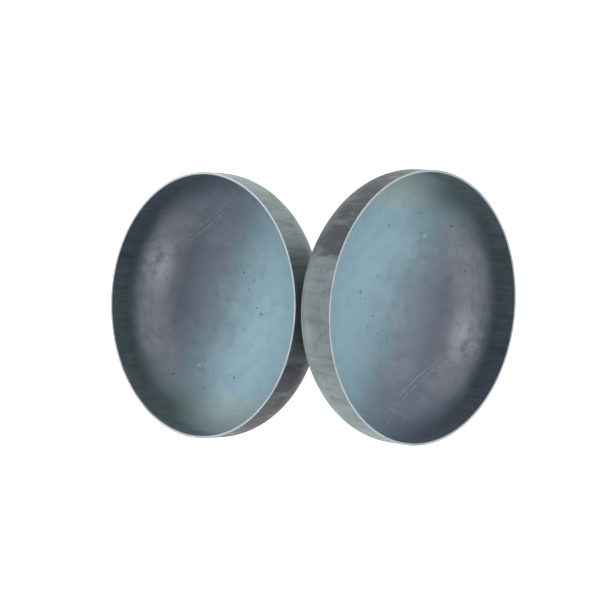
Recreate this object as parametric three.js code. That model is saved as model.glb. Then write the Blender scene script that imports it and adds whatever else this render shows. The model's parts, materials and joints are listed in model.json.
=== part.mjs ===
// Two butt-weld pipe caps for DN 300 pipe, lying back to back on a floor.
//
// A cap is one steel pressing: a short straight flange that runs into a 2:1 semi-ellipsoidal dome,
// with the same wall all over. Its open edge is a flat weld face. Both caps lie on their domes with
// the openings turned up and outward, and the right cap leans over the back of the left one.
//
// Units are millimetres and +Z is up. The origin is on the floor, under the middle of the pair.

import * as THREE from "three";

// Driving dimensions of one cap.
const OUTSIDE_DIAMETER = 323.9;
const WALL = 3;
const STRAIGHT_FLANGE = 25;
const DOME_RATIO = 2; // inside radius to inside depth of the dome

// How the two caps lie. A tilt is the lean of a cap's axis from the vertical.
const TILT_LEFT = 30.2;
const TILT_RIGHT = 57;
const TURN = 3.4; // both caps are turned by this about the vertical
const RIM_SPACING = 284.7; // along X, between the rim centres: half a millimetre is left between the caps

// Fineness of the facets.
const STEPS_AROUND = 72;
const STEPS_PER_DOME = 14;

const outsideRadius = OUTSIDE_DIAMETER / 2;
const insideRadius = outsideRadius - WALL;
const insideDepth = insideRadius / DOME_RATIO;
const radians = THREE.MathUtils.degToRad;

// A point of the dome's skin, `offset` outside the inside ellipse. The angle is 0 where the flange
// ends and a right angle at the crown. The rim plane is at height 0 and the dome hangs below it.
function domePoint(angle, offset) {
  const along = new THREE.Vector2(Math.cos(angle) / insideRadius, -Math.sin(angle) / insideDepth);
  const outward = along.normalize();
  const radius = insideRadius * Math.cos(angle) + offset * outward.x;
  const height = -STRAIGHT_FLANGE - insideDepth * Math.sin(angle) + offset * outward.y;
  return new THREE.Vector2(radius, height);
}

// Half a section through one cap: up the outside from the crown, across the weld face, and down the
// inside to the crown again.
function capSection() {
  const section = [new THREE.Vector2(0, domePoint(Math.PI / 2, WALL).y)];
  for (let step = STEPS_PER_DOME - 1; step >= 0; step -= 1) {
    section.push(domePoint((Math.PI / 2) * (step / STEPS_PER_DOME), WALL));
  }
  section.push(new THREE.Vector2(outsideRadius, 0));
  section.push(new THREE.Vector2(insideRadius, 0));
  for (let step = 0; step < STEPS_PER_DOME; step += 1) {
    section.push(domePoint((Math.PI / 2) * (step / STEPS_PER_DOME), 0));
  }
  section.push(new THREE.Vector2(0, domePoint(Math.PI / 2, 0).y));
  return section;
}

// The scaled steel of the pressing.
function capSteel() {
  return new THREE.MeshStandardMaterial({ color: 0x6f7f88, roughness: 0.5, metalness: 0.7 });
}

// One cap, tilted, turned and lowered until its lowest point touches the floor. Its heading is the
// compass side that its opening leans to, counted from +X about the vertical.
function makeCap(name, tilt, heading, rimCentreX) {
  const geometry = new THREE.LatheGeometry(capSection(), STEPS_AROUND);
  geometry.rotateX(Math.PI / 2); // the lathe turns about Y, and the cap's own axis is Z
  const cap = new THREE.Mesh(geometry, capSteel());
  cap.name = name;
  cap.rotation.set(0, radians(tilt), radians(heading), "ZYX");
  const lowest = new THREE.Box3().setFromObject(cap, true).min.z;
  cap.position.set(rimCentreX, 0, -lowest);
  return cap;
}

// The pair, with its middle over the origin.
function makePair() {
  const pair = new THREE.Group();
  pair.add(makeCap("cap_left", TILT_LEFT, 180 - TURN, -RIM_SPACING / 2));
  pair.add(makeCap("cap_right", TILT_RIGHT, -TURN, RIM_SPACING / 2));
  const middle = new THREE.Box3().setFromObject(pair, true).getCenter(new THREE.Vector3());
  pair.position.set(-middle.x, -middle.y, 0);
  return pair;
}

export default makePair();
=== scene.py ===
"""Two pressed steel pipe caps lying back to back on a white light table.

Lengths are in metres. The angles named below are in degrees, and an angle inside a mesh function is
in radians. Each cap is built in its own coordinates: the origin is the middle of its rim, +Z points
out of the opening and +X points to the highest place of the rim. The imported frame's weld-face mounts
say where that is in the row.
"""

import json
import math

import bmesh
import bpy
from mathutils import Matrix, Vector, noise


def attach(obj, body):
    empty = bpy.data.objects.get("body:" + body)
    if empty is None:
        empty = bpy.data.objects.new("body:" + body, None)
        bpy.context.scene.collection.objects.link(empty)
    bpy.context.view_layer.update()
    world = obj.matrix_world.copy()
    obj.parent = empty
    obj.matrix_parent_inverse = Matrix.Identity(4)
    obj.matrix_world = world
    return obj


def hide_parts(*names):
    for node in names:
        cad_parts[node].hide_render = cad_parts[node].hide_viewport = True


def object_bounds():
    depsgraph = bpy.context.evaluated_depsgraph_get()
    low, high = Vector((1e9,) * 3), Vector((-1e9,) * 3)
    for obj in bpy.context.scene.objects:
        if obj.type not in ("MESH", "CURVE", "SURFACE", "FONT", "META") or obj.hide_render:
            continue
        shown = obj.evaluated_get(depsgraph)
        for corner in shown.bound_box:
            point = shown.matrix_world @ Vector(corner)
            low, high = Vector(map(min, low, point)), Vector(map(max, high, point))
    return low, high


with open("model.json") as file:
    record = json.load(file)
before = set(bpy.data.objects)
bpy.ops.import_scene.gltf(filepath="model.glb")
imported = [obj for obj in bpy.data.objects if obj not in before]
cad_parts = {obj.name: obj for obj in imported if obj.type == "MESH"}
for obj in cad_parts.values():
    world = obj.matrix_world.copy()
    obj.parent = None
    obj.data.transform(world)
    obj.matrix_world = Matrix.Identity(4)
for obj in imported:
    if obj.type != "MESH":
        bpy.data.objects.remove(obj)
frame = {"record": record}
cad_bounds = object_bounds()

# Size of one cap, as in the frame.
OUTSIDE_RADIUS = 0.16195
WALL = 0.003
STRAIGHT_FLANGE = 0.025
DOME_RATIO = 2  # inside radius to inside depth of the dome
INSIDE_RADIUS = OUTSIDE_RADIUS - WALL
INSIDE_DEPTH = INSIDE_RADIUS / DOME_RATIO

# Fineness of the visible meshes.
STEPS_AROUND = 288
STEPS_PER_DOME = 72
STEPS_PER_FLANGE = 14

# Small departures of a real pressing from the ideal surface. They only take steel away.
BROKEN_EDGE = 0.00035
OUTSIDE_LOSS = 0.0002
FLANGE_WAVE = 0.0003
FLANGE_WAVE_REACH = STRAIGHT_FLANGE * 2.2  # how far below the rim the flange's wave dies out
FLANGE_WAVES_ROUND = 1.6
FLANGE_WAVES_DOWN = 14
RIM_WAVE = 0.00015
RIM_WAVES_ROUND = 3.5
SEED_STEP = 7.3  # how far apart the two caps' waves are taken from the noise

# Which finish a face of the wall has. The numbers are the places of the materials on its mesh.
INSIDE = 0
OUTSIDE = 1
CUT = 2

# How metallic the scale and the bare cut edge are.
SCALE_METALLIC = 0.35
CUT_METALLIC = 0.8

# Colours of the steel as they look on a screen, 0 to 255.
# Of the next three, the violet is partly painted shade and the pale teal partly painted reflected light.
VIOLET_SCALE_AND_SHADE = (96, 101, 114)
TEAL_SCALE = (94, 116, 124)
PALE_TEAL_SCALE_AND_SHEEN = (122, 150, 160)
GREEN_SCALE = (144, 157, 153)
DARK_GREEN_SCALE = (84, 96, 93)
# The next two are scuffed steel with a painted highlight in them.
SCUFF_AND_HIGHLIGHT = (168, 168, 174)
BRIGHT_SCUFF_AND_HIGHLIGHT = (212, 208, 214)
GREEN_WALL = (100, 112, 112)
BLUE_WALL = (90, 96, 108)
WALL_STREAK = (140, 150, 150)
DARK_SCALE = (52, 56, 62)
BARE_STEEL = (170, 176, 180)
OUTSIDE_GREY = (88, 96, 98)
OUTSIDE_PALE = (104, 112, 112)
# The outside green is partly painted light.
OUTSIDE_GREEN_AND_LIGHT = (120, 133, 129)
# The outside violet is partly painted shade.
OUTSIDE_VIOLET_AND_SHADE = (30, 31, 37)
OUTSIDE_CROWN = (92, 97, 106)
CUT_STEEL = (136, 140, 145)
CUT_STAIN = (112, 118, 122)

# Zones of the finish, in the cap's own coordinates. A zone is absent at the first value of its pair
# and full at the second.
INSIDE_WALL_Z = (-0.044, -0.021)
INSIDE_KNUCKLE_Z = ((-0.082, -0.060), (-0.024, -0.048))
# Where the knuckle's scuffs and painted highlight lie.
SCUFF_HIGHLIGHT_X = (-0.055, -0.115)
SCUFF_HIGHLIGHT_Y = ((-0.150, -0.020), (0.170, 0.030))
GREEN_BAND_Y = (-0.100, -0.136)
GREEN_BAND_PALER_X = (-0.090, -0.010)
BLUE_WALL_Y = (-0.04, 0.09)
OUTSIDE_KNUCKLE_Z = ((-0.080, -0.060), (-0.030, -0.050))
OUTSIDE_CROWN_Z = (-0.060, -0.085)
OUTSIDE_WALL_Z = (-0.075, -0.030)
# The green side carries painted light.
OUTSIDE_LIT_GREEN_Y = (0.02, 0.13)
# The dark patch carries painted shade.
DARK_PATCH_X = (0.0, 0.05)
DARK_PATCH_Y = (-0.026, -0.036)
DARK_PATCH_Z = (-0.085, -0.035)

# Marks inside each cap, in its own coordinates: the middle of the brightest scuff, the x, y and
# radius of a bright nick and of the pits, and the ends of the scratches.
# The brightest scuff also holds a painted highlight.
SCUFF_HIGHLIGHT_MIDDLE = (-0.137, 0.040, -0.058)
NICK = (-0.077, -0.083, 0.0032)
PITS = [
    (-0.026, 0.039, 0.0018),
    (-0.010, 0.030, 0.0012),
    (-0.018, 0.018, 0.0015),
    (0.005, -0.011, 0.0024),
    (-0.004, -0.004, 0.0014),
    (-0.021, -0.093, 0.0020),
    (-0.103, -0.096, 0.0022),
    (-0.060, -0.110, 0.0015),
]
SCRATCHES = [
    ((-0.004, 0.146), (-0.132, 0.060)),
    ((-0.018, 0.132), (-0.128, 0.055)),
    ((-0.079, -0.120), (-0.024, -0.133)),
    ((-0.024, -0.133), (0.025, -0.135)),
]
SCRATCH_WIDTH = 0.0012

# The camera, from the middle between the two rims. The lens and the sensor are in millimetres.
CAMERA_DISTANCE = 2.27
LEAN_ACROSS = 13.0
LEAN_BACK = 2.2
LENS = 114.4
SENSOR_WIDTH = 36
AIM_RIGHT = -0.0127
AIM_UP = 0.008

# Two soft lamps, half a turn apart about the line of sight. Clock 0 is to the right and 90 is up.
LAMP_OFF_AXIS = 76
LAMP_CLOCK = 168
LAMP_DISTANCE = 1.6
LAMP_WIDTH = 1.6
LAMP_HEIGHT = 1.4
LAMP_POWER = 12
LAMP_COLOUR = (0.96, 0.99, 1)

# The light table and the surround, which is brightest at the horizon.
FLOOR_HALF_SIDE = 3.0
FLOOR_GAP = 0.0002
FLOOR_SHADE = (0.85, 0.85, 0.85, 1)
FLOOR_ROUGHNESS = 0.9
FLOOR_GLOW = 0.75
SURROUND_COLOUR = (0.93, 0.97, 1.0, 1)
HORIZON_STRENGTH = 1.8
ZENITH_STRENGTH = 0.5
ZENITH_BEGINS = 0.9  # height of a direction, from 0 at the horizon to 1 straight up

# Each CAD node, with the mount on its weld face.
CAPS = {"cap_left": "left_weld_face", "cap_right": "right_weld_face"}


# ---------------------------------------------------------------------------------------- placing


def mount_named(name):
    """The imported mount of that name."""
    return next(mount for mount in frame["record"]["mounts"] if mount["name"] == name)


def cap_matrix(mount):
    """The cap's own coordinates in the row, from the mount at the highest place of its weld face."""
    axis = Vector(mount["axis"]).normalized()
    uphill = (Vector((0, 0, 1)) - axis * axis.z).normalized()
    side = axis.cross(uphill)
    rim_centre = Vector(mount["pos_m"]) - uphill * (OUTSIDE_RADIUS - WALL / 2)
    turn = Matrix((uphill, side, axis)).transposed().to_4x4()
    return Matrix.Translation(rim_centre) @ turn


# ----------------------------------------------------------------------------------------- meshes


def dome_point(angle, offset):
    """(radius, height) on the dome, offset outside its inside ellipse. The crown is at a right angle."""
    across = math.cos(angle) / INSIDE_RADIUS
    down = math.sin(angle) / INSIDE_DEPTH
    length = math.hypot(across, down)
    radius = INSIDE_RADIUS * math.cos(angle) + offset * across / length
    height = -STRAIGHT_FLANGE - INSIDE_DEPTH * math.sin(angle) - offset * down / length
    return radius, height


def skin(offset):
    """(radius, height) points of one skin, from just below the rim down to just short of the crown."""
    radius = INSIDE_RADIUS + offset
    points = []
    for step in range(STEPS_PER_FLANGE):
        height = -BROKEN_EDGE - (STRAIGHT_FLANGE - BROKEN_EDGE) * step / STEPS_PER_FLANGE
        points.append((radius, height))
    for step in range(STEPS_PER_DOME):
        points.append(dome_point(math.pi / 2 * step / STEPS_PER_DOME, offset))
    return points


def weld_face():
    """(radius, height) points across the cut edge, from the outside to the inside."""
    outside = INSIDE_RADIUS + WALL - OUTSIDE_LOSS
    rounding = BROKEN_EDGE * 0.3  # how far the middle of a broken corner stands in from the true one
    return [
        (outside - rounding, -rounding),
        (outside - BROKEN_EDGE, 0.0),
        (INSIDE_RADIUS + WALL / 2, 0.0),
        (INSIDE_RADIUS + BROKEN_EDGE, 0.0),
        (INSIDE_RADIUS + rounding, -rounding),
    ]


def wave(angle, waves_round, place):
    """A smooth value from 0 to 1 that comes back to its start after a whole turn."""
    spot = Vector((math.cos(angle) * waves_round, math.sin(angle) * waves_round, place))
    return 0.5 - 0.5 * noise.noise(spot)


def pressed_wave(angle, height, seed):
    """How far the wall stands inside its true place: it is a little wavy near the rim only."""
    near_rim = max(0.0, 1 + height / FLANGE_WAVE_REACH)
    place = height * FLANGE_WAVES_DOWN + seed
    return FLANGE_WAVE * near_rim * near_rim * wave(angle, FLANGE_WAVES_ROUND, place)


def rim_wave(angle, height, seed):
    """How far the sawn edge stands below its plane. The wall under it stays where it is."""
    if height < -BROKEN_EDGE * 1.5:
        return 0.0
    return RIM_WAVE * wave(angle, RIM_WAVES_ROUND, seed)


def lathe(seed):
    """A closed bmesh of the wall, from the outside's crown over the weld face to the inside's crown."""
    outside = skin(WALL - OUTSIDE_LOSS)[::-1]
    cut = weld_face()
    inside = skin(0)
    finishes = [OUTSIDE] * (len(outside) - 1) + [CUT] * (len(cut) + 1) + [INSIDE] * (len(inside) - 1)
    mesh = bmesh.new()
    rings = []
    for radius, height in outside + cut + inside:
        ring = []
        for step in range(STEPS_AROUND):
            angle = 2 * math.pi * step / STEPS_AROUND
            wide = radius - pressed_wave(angle, height, seed)
            high = height - rim_wave(angle, height, seed)
            ring.append(mesh.verts.new((wide * math.cos(angle), wide * math.sin(angle), high)))
        rings.append(ring)
    for finish, lower, upper in zip(finishes, rings, rings[1:]):
        for step in range(STEPS_AROUND):
            after = (step + 1) % STEPS_AROUND
            face = mesh.faces.new((lower[step], lower[after], upper[after], upper[step]))
            face.material_index = finish
    outside_crown = mesh.verts.new((0, 0, dome_point(math.pi / 2, WALL - OUTSIDE_LOSS)[1]))
    inside_crown = mesh.verts.new((0, 0, dome_point(math.pi / 2, 0)[1]))
    for step in range(STEPS_AROUND):
        after = (step + 1) % STEPS_AROUND
        face = mesh.faces.new((outside_crown, rings[0][after], rings[0][step]))
        face.material_index = OUTSIDE
        face = mesh.faces.new((inside_crown, rings[-1][step], rings[-1][after]))
        face.material_index = INSIDE
    return mesh


def make_cap(node, mount_name, seed):
    """Makes the finished cap that stands for one CAD node, placed and riding on that node's body."""
    placing = cap_matrix(mount_named(mount_name))
    mesh = bpy.data.meshes.new(node + "_pressing")
    shape = lathe(seed)
    bmesh.ops.recalc_face_normals(shape, faces=shape.faces)
    bmesh.ops.transform(shape, matrix=placing, verts=shape.verts)
    shape.to_mesh(mesh)
    shape.free()
    for face in mesh.polygons:
        face.use_smooth = True
    mesh.materials.append(make_inside_steel(node, placing))  # INSIDE
    mesh.materials.append(make_outside_steel(node, placing))  # OUTSIDE
    mesh.materials.append(make_cut_steel(node, placing))  # CUT
    cap = bpy.data.objects.new(node + "_pressing", mesh)
    bpy.context.scene.collection.objects.link(cap)
    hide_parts(node)
    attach(cap, node)


# -------------------------------------------------------------------------------------- materials


def linear(colour):
    """A colour given as it looks on a screen, 0 to 255, in the renderer's linear values."""
    channels = []
    for value in colour:
        part = value / 255
        channels.append(part / 12.92 if part <= 0.04045 else ((part + 0.055) / 1.055) ** 2.4)
    return (*channels, 1.0)


class Steel:
    """One steel finish, painted in the cap's own coordinates, with short ways to add shader nodes."""

    def __init__(self, name, placing):
        self.material = bpy.data.materials.new(name)
        self.material.use_nodes = True
        self.tree = self.material.node_tree
        self.tree.nodes.clear()
        mapping = self.add("ShaderNodeMapping", vector_type="TEXTURE")
        self.put(self.add("ShaderNodeTexCoord").outputs["Object"], mapping.inputs["Vector"])
        self.put(placing.translation, mapping.inputs["Location"])
        self.put(placing.to_euler(), mapping.inputs["Rotation"])
        self.where = mapping.outputs["Vector"]
        parts = self.add("ShaderNodeSeparateXYZ")
        self.put(self.where, parts.inputs[0])
        self.x, self.y, self.z = parts.outputs

    def add(self, kind, **settings):
        """A new node, with its properties set by name."""
        node = self.tree.nodes.new(kind)
        for name, value in settings.items():
            setattr(node, name, value)
        return node

    def put(self, value, socket):
        """Sets a socket to a number or colour, or joins it to another node's output."""
        if isinstance(value, bpy.types.NodeSocket):
            self.tree.links.new(value, socket)
        else:
            socket.default_value = value

    def math(self, operation, first, second=0.0, third=0.0):
        """The output of a math node."""
        node = self.add("ShaderNodeMath", operation=operation)
        for value, socket in zip((first, second, third), node.inputs):
            self.put(value, socket)
        return node.outputs[0]

    def both(self, first, second):
        """Where both masks are, or one mask at a part of its strength."""
        return self.math("MULTIPLY", first, second)

    def either(self, first, second):
        """Where the stronger of two masks is."""
        return self.math("MAXIMUM", first, second)

    def sloped(self, value, slope, start):
        """start + value * slope."""
        return self.math("MULTIPLY_ADD", value, slope, start)

    def mix(self, share, first, second):
        """The colour between two, each of them a colour on a screen or another node's output."""
        node = self.add("ShaderNodeMix", data_type="RGBA")
        self.put(share, node.inputs[0])
        for colour, socket in ((first, node.inputs[6]), (second, node.inputs[7])):  # its two colours
            self.put(linear(colour) if isinstance(colour, tuple) else colour, socket)
        return node.outputs[2]

    def paint(self, tone, colour, mask, strength):
        """The tone with a colour over it where the mask is."""
        return self.mix(self.both(mask, strength), tone, colour)

    def ramp(self, value, low, high):
        """0 where value is at low, 1 where it is at high, and smooth between them."""
        node = self.add("ShaderNodeMapRange", interpolation_type="SMOOTHSTEP")
        for number, socket in zip((value, low, high, 0.0, 1.0), node.inputs):
            self.put(number, socket)
        return node.outputs[0]

    def band(self, value, from_below, from_above):
        """1 in a band of value, with a (gone, full) pair for its lower end and one for its upper."""
        return self.both(self.ramp(value, *from_below), self.ramp(value, *from_above))

    def stretched(self, x, y, z):
        """The cap's coordinates multiplied by x, y and z."""
        node = self.add("ShaderNodeVectorMath", operation="MULTIPLY")
        self.put(self.where, node.inputs[0])
        self.put((x, y, z), node.inputs[1])
        return node.outputs[0]

    def noise(self, scale, detail=4.0, rough=0.55, warp=0.0, where=None):
        """A noise between 0 and 1, with its middle at a half, in the cap's coordinates or in where."""
        node = self.add("ShaderNodeTexNoise")
        self.put(self.where if where is None else where, node.inputs["Vector"])
        self.put(scale, node.inputs["Scale"])
        self.put(detail, node.inputs["Detail"])
        self.put(rough, node.inputs["Roughness"])
        self.put(warp, node.inputs["Distortion"])
        return node.outputs["Fac"]

    def streaks(self, around, down, detail=4.0):
        """Noise with one scale square to the cap's axis and another down it, which draws it out."""
        return self.noise(scale=1.0, detail=detail, where=self.stretched(around, around, down))

    def spot(self, place, squeeze, core, edge):
        """1 within core of a place, 0 beyond edge, and smooth between, after squeezing each direction."""
        apart = self.add("ShaderNodeVectorMath", operation="DISTANCE")
        self.put(self.stretched(*squeeze), apart.inputs[0])
        self.put([part * factor for part, factor in zip(place, squeeze)], apart.inputs[1])
        return self.ramp(apart.outputs["Value"], edge, core)

    def dot(self, x, y, core, edge):
        """A round spot, measured square to the cap's axis."""
        return self.spot((x, y, 0), (1, 1, 0), core, edge)

    def measured(self, direction):
        """The distance from the axis along a direction square to it."""
        return self.sloped(self.y, direction.y, self.math("MULTIPLY", self.x, direction.x))

    def scratch(self, start, end, width):
        """A dotted and wandering line between two points of the plane square to the cap's axis."""
        start = Vector(start)
        run = Vector(end) - start
        direction = run.normalized()
        aside = Vector((-direction.y, direction.x))
        wander = width * 3
        fade = width * 8
        begins = start.dot(direction)
        ends = begins + run.length
        off = self.sloped(self.noise(scale=45.0, detail=2.0), wander, -aside.dot(start) - wander / 2)
        off = self.math("ADD", self.measured(aside), off)
        thin = self.ramp(self.math("ABSOLUTE", off), width, 0.0)
        inside = self.band(self.measured(direction), (begins, begins + fade), (ends, ends - fade))
        dots = self.ramp(self.noise(scale=170.0, detail=5.0, rough=0.75), 0.44, 0.60)
        return self.both(self.both(thin, inside), dots)

    def finish(self, tone, metallic, rough, heights):
        """The shader with its tone, roughness and a bump from (height, depth in metres) pairs."""
        shader = self.add("ShaderNodeBsdfPrincipled")
        self.put(tone, shader.inputs["Base Color"])
        self.put(metallic, shader.inputs["Metallic"])
        self.put(rough, shader.inputs["Roughness"])
        normal = None
        for height, depth in heights:
            bump = self.add("ShaderNodeBump")
            self.put(height, bump.inputs["Height"])
            self.put(depth, bump.inputs["Distance"])
            if normal is not None:
                self.put(normal, bump.inputs["Normal"])
            normal = bump.outputs["Normal"]
        self.put(normal, shader.inputs["Normal"])
        out = self.add("ShaderNodeOutputMaterial")
        self.put(shader.outputs[0], out.inputs[0])
        return self.material


def make_inside_steel(node, placing):
    """The hollow: teal-grey scale on the crown, violet grey with painted shade low, a dark drawn wall."""
    steel = Steel(node + "_inside", placing)

    # The two broad tones of the dome, with a soft slanting border between them. The violet toward the low
    # side and +y is partly painted shade, and the pale teal toward the high side and -y is partly painted
    # reflected light.
    cloud = steel.noise(scale=11.0, detail=3.0, rough=0.5, warp=0.6)
    slant = steel.math("ADD", steel.sloped(steel.y, -0.5, steel.x), steel.sloped(cloud, 0.09, -0.045))
    reflection_side = steel.ramp(steel.sloped(steel.y, -0.35, steel.x), -0.08, 0.03)
    teal = steel.mix(reflection_side, TEAL_SCALE, PALE_TEAL_SCALE_AND_SHEEN)
    tone = steel.mix(steel.ramp(slant, -0.12, -0.02), VIOLET_SCALE_AND_SHADE, teal)

    # A greener, duller band at one side, halfway between the high and the low one.
    green = steel.mix(steel.ramp(steel.x, *GREEN_BAND_PALER_X), DARK_GREEN_SCALE, GREEN_SCALE)
    tone = steel.paint(tone, green, steel.ramp(steel.y, *GREEN_BAND_Y), strength=0.8)

    # The knuckle on the low side is scuffed bright and carries a painted highlight, most of all in one
    # patch.
    brushed = steel.ramp(steel.streaks(around=30, down=320), -0.25, 0.60)
    rubbing = steel.noise(scale=38.0, detail=6.0, rough=0.65, warp=0.4)
    rubbed = steel.ramp(rubbing, 0.05, 0.60)
    knuckle = steel.both(steel.band(steel.z, *INSIDE_KNUCKLE_Z), steel.band(steel.y, *SCUFF_HIGHLIGHT_Y))
    low_side = steel.ramp(steel.x, *SCUFF_HIGHLIGHT_X)
    scuff_highlight_mask = steel.both(steel.both(low_side, knuckle), steel.both(brushed, rubbed))
    tone = steel.paint(tone, SCUFF_AND_HIGHLIGHT, scuff_highlight_mask, strength=0.85)
    highlight_patch = steel.spot(SCUFF_HIGHLIGHT_MIDDLE, squeeze=(1.5, 0.8, 1.5), core=0.002, edge=0.038)
    highlight_patch = steel.both(highlight_patch, steel.ramp(rubbing, 0.30, 0.62))
    tone = steel.paint(tone, BRIGHT_SCUFF_AND_HIGHLIGHT, highlight_patch, strength=0.7)

    # The straight wall is darker and greener, with fine drawing streaks down it.
    wall = steel.ramp(steel.z, *INSIDE_WALL_Z)
    drawn = steel.streaks(around=210, down=14)
    blotches = steel.ramp(steel.noise(scale=32.0, detail=5.0, rough=0.62, warp=0.8), 0.50, 0.72)
    wall_tone = steel.mix(steel.ramp(steel.y, *BLUE_WALL_Y), GREEN_WALL, BLUE_WALL)
    wall_tone = steel.paint(wall_tone, DARK_SCALE, blotches, strength=0.30)
    wall_tone = steel.paint(wall_tone, WALL_STREAK, steel.ramp(drawn, 0.4, 0.75), strength=0.28)
    tone = steel.mix(wall, tone, wall_tone)

    # Faint haze and mottling all over, then the pits, the nick and the scratches.
    haze = steel.ramp(steel.noise(scale=26.0, detail=4.0, rough=0.6, warp=0.5), 0.45, 0.80)
    tone = steel.paint(tone, BARE_STEEL, haze, strength=0.10)
    mottle = steel.noise(scale=60.0, detail=6.0, rough=0.62, warp=0.3)
    tone = steel.paint(tone, DARK_SCALE, steel.ramp(mottle, 0.42, 0.72), strength=0.10)
    pits = steel.both(steel.ramp(steel.noise(scale=300.0, detail=1.0), 0.72, 0.79), 0.8)
    for x, y, radius in PITS:
        pits = steel.either(pits, steel.dot(x, y, core=radius * 0.4, edge=radius))
    tone = steel.paint(tone, DARK_SCALE, pits, strength=0.5)
    x, y, radius = NICK
    marks = steel.dot(x, y, core=0.001, edge=radius)
    for start, end in SCRATCHES:
        marks = steel.either(marks, steel.scratch(start, end, SCRATCH_WIDTH))
    tone = steel.paint(tone, BARE_STEEL, marks, strength=0.38)

    rough = steel.sloped(mottle, 0.22, 0.34)
    grain = steel.noise(scale=900.0, detail=3.0)
    heights = [(pits, -0.0003), (marks, -0.0001), (steel.both(drawn, wall), 0.0001), (grain, 0.00002)]
    return steel.finish(tone, SCALE_METALLIC, rough, heights)


def make_outside_steel(node, placing):
    """The outside: grey scale, greenish on one side, with blotches, streaks and a dark violet patch."""
    steel = Steel(node + "_outside", placing)
    cloud = steel.noise(scale=14.0, detail=4.0, rough=0.6, warp=0.8)
    tone = steel.mix(steel.ramp(cloud, 0.3, 0.7), OUTSIDE_GREY, OUTSIDE_PALE)
    # The green side toward +y is partly the scale's tint and partly painted light.
    lit_green_side = steel.ramp(steel.sloped(cloud, 0.06, steel.y), *OUTSIDE_LIT_GREEN_Y)
    tone = steel.paint(tone, OUTSIDE_GREEN_AND_LIGHT, lit_green_side, strength=0.8)

    # The dark patch on the high side, with a ragged border: partly dark violet scale, partly painted
    # shade toward -y.
    ragged = steel.noise(scale=34.0, detail=6.0, rough=0.7, warp=1.2)
    dark_patch_and_shade = steel.ramp(steel.sloped(ragged, 0.05, steel.y), *DARK_PATCH_Y)
    dark_patch_and_shade = steel.both(dark_patch_and_shade, steel.ramp(steel.x, *DARK_PATCH_X))
    dark_patch_and_shade = steel.both(dark_patch_and_shade, steel.ramp(steel.sloped(cloud, 0.05, steel.z), *DARK_PATCH_Z))
    fine_streaks = steel.ramp(steel.streaks(around=70, down=22, detail=5.0), 0.46, 0.78)
    violet = steel.mix(fine_streaks, OUTSIDE_VIOLET_AND_SHADE, OUTSIDE_GREY)
    tone = steel.paint(tone, violet, dark_patch_and_shade, strength=0.9)

    # The crown is a shade more violet, and the knuckle is rubbed bright in rings by the die.
    crown = steel.ramp(steel.sloped(cloud, 0.05, steel.z), *OUTSIDE_CROWN_Z)
    tone = steel.paint(tone, OUTSIDE_CROWN, crown, strength=0.6)
    rings = steel.ramp(steel.streaks(around=16, down=260), 0.45, 0.75)
    rubbed = steel.both(steel.band(steel.z, *OUTSIDE_KNUCKLE_Z), rings)
    tone = steel.paint(tone, BARE_STEEL, rubbed, strength=0.18)

    # Streaks that the die drew down the wall, and mottling and pits all over.
    drawn = steel.streaks(around=120, down=16)
    wall = steel.ramp(steel.z, *OUTSIDE_WALL_Z)
    tone = steel.paint(tone, DARK_SCALE, steel.both(steel.ramp(drawn, 0.45, 0.7), wall), strength=0.35)
    mottle = steel.noise(scale=75.0, detail=6.0, rough=0.65, warp=0.4)
    tone = steel.paint(tone, DARK_SCALE, steel.ramp(mottle, 0.5, 0.75), strength=0.45)
    pits = steel.ramp(steel.noise(scale=210.0, detail=1.0), 0.70, 0.76)
    tone = steel.paint(tone, DARK_SCALE, pits, strength=0.5)

    rough = steel.sloped(mottle, 0.2, 0.42)
    grain = steel.noise(scale=800.0, detail=3.0)
    heights = [(pits, -0.0002), (steel.both(drawn, wall), 0.00012), (grain, 0.00003)]
    return steel.finish(tone, SCALE_METALLIC, rough, heights)


def make_cut_steel(node, placing):
    """The weld face: bare steel, sawn across, with a little grey left on it."""
    steel = Steel(node + "_cut", placing)
    stain = steel.ramp(steel.noise(scale=40.0, detail=3.0), 0.45, 0.8)
    tone = steel.mix(stain, CUT_STEEL, CUT_STAIN)
    sawn = steel.streaks(around=420, down=420, detail=2.0)
    rough = steel.sloped(sawn, 0.2, 0.25)
    return steel.finish(tone, CUT_METALLIC, rough, [(sawn, 0.00006)])


def make_floor_paint():
    """A white light table: it glows a little, so shadows on it are faint."""
    paint = bpy.data.materials.new("studio_white")
    paint.use_nodes = True
    shader = paint.node_tree.nodes["Principled BSDF"]
    shader.inputs["Base Color"].default_value = FLOOR_SHADE
    shader.inputs["Roughness"].default_value = FLOOR_ROUGHNESS
    shader.inputs["Emission Color"].default_value = (1, 1, 1, 1)
    shader.inputs["Emission Strength"].default_value = FLOOR_GLOW
    return paint


# ------------------------------------------------------------------------------------------ stage


def make_floor():
    """A flat square floor just under the caps."""
    mesh = bpy.data.meshes.new("floor")
    height = cad_bounds[0][2] - FLOOR_GAP
    corners = []
    for side_x, side_y in ((-1, -1), (1, -1), (1, 1), (-1, 1)):
        corners.append((side_x * FLOOR_HALF_SIDE, side_y * FLOOR_HALF_SIDE, height))
    mesh.from_pydata(corners, [], [(0, 1, 2, 3)])
    mesh.materials.append(make_floor_paint())
    floor = bpy.data.objects.new("floor", mesh)
    bpy.context.scene.collection.objects.link(floor)


def camera_turn():
    """The camera's turn: it looks down, leaning to the right cap's side and a little to the back."""
    across = Matrix.Rotation(math.radians(LEAN_ACROSS), 4, "Y")
    back = Matrix.Rotation(math.radians(-LEAN_BACK), 4, "X")
    return across @ back


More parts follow.
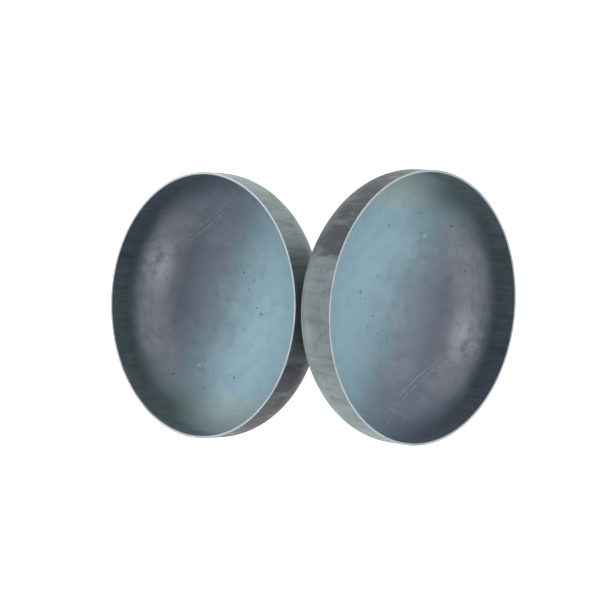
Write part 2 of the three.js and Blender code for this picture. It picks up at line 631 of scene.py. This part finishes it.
def make_camera(middle):
    """The camera above the pair, aimed a little to the left of its middle and above it."""
    data = bpy.data.cameras.new("camera")
    data.sensor_width = SENSOR_WIDTH
    data.lens = LENS
    camera = bpy.data.objects.new("camera", data)
    place = Matrix.Translation((AIM_RIGHT, AIM_UP, CAMERA_DISTANCE))
    camera.matrix_world = Matrix.Translation(middle) @ camera_turn() @ place
    bpy.context.scene.collection.objects.link(camera)
    bpy.context.scene.camera = camera


def make_lamp(name, clock, target):
    """A soft rectangular lamp that looks at target from beside the line of sight."""
    data = bpy.data.lights.new(name, "AREA")
    data.shape = "RECTANGLE"
    data.size = LAMP_WIDTH
    data.size_y = LAMP_HEIGHT
    data.energy = LAMP_POWER
    data.color = LAMP_COLOUR
    round_axis = Matrix.Rotation(math.radians(clock), 4, "Z")
    from_axis = Matrix.Rotation(math.radians(LAMP_OFF_AXIS), 4, "Y")
    away = (camera_turn() @ round_axis @ from_axis).to_3x3() @ Vector((0, 0, LAMP_DISTANCE))
    lamp = bpy.data.objects.new(name, data)
    lamp.location = target + away
    lamp.rotation_euler = (-away).to_track_quat("-Z", "Y").to_euler()
    bpy.context.scene.collection.objects.link(lamp)


def make_world():
    """A pale surround that is brighter near the horizon than overhead."""
    world = bpy.data.worlds.new("studio")
    world.use_nodes = True
    tree = world.node_tree
    parts = tree.nodes.new("ShaderNodeSeparateXYZ")
    tree.links.new(tree.nodes.new("ShaderNodeTexCoord").outputs["Generated"], parts.inputs[0])
    ramp = tree.nodes.new("ShaderNodeMapRange")
    tree.links.new(parts.outputs["Z"], ramp.inputs["Value"])
    ramp.inputs["From Max"].default_value = ZENITH_BEGINS
    ramp.inputs["To Min"].default_value = HORIZON_STRENGTH
    ramp.inputs["To Max"].default_value = ZENITH_STRENGTH
    background = tree.nodes["Background"]
    background.inputs["Color"].default_value = SURROUND_COLOUR
    tree.links.new(ramp.outputs["Result"], background.inputs["Strength"])
    bpy.context.scene.world = world


for number, (node, mount_name) in enumerate(CAPS.items()):
    make_cap(node, mount_name, number * SEED_STEP)

rim_middles = [cap_matrix(mount_named(name)).translation for name in CAPS.values()]
pair_middle = (rim_middles[0] + rim_middles[1]) / 2
make_camera(pair_middle)
make_floor()
make_lamp("side_a", LAMP_CLOCK, pair_middle)
make_lamp("side_b", LAMP_CLOCK + 180, pair_middle)
make_world()

bpy.context.scene.view_settings.view_transform = "Standard"
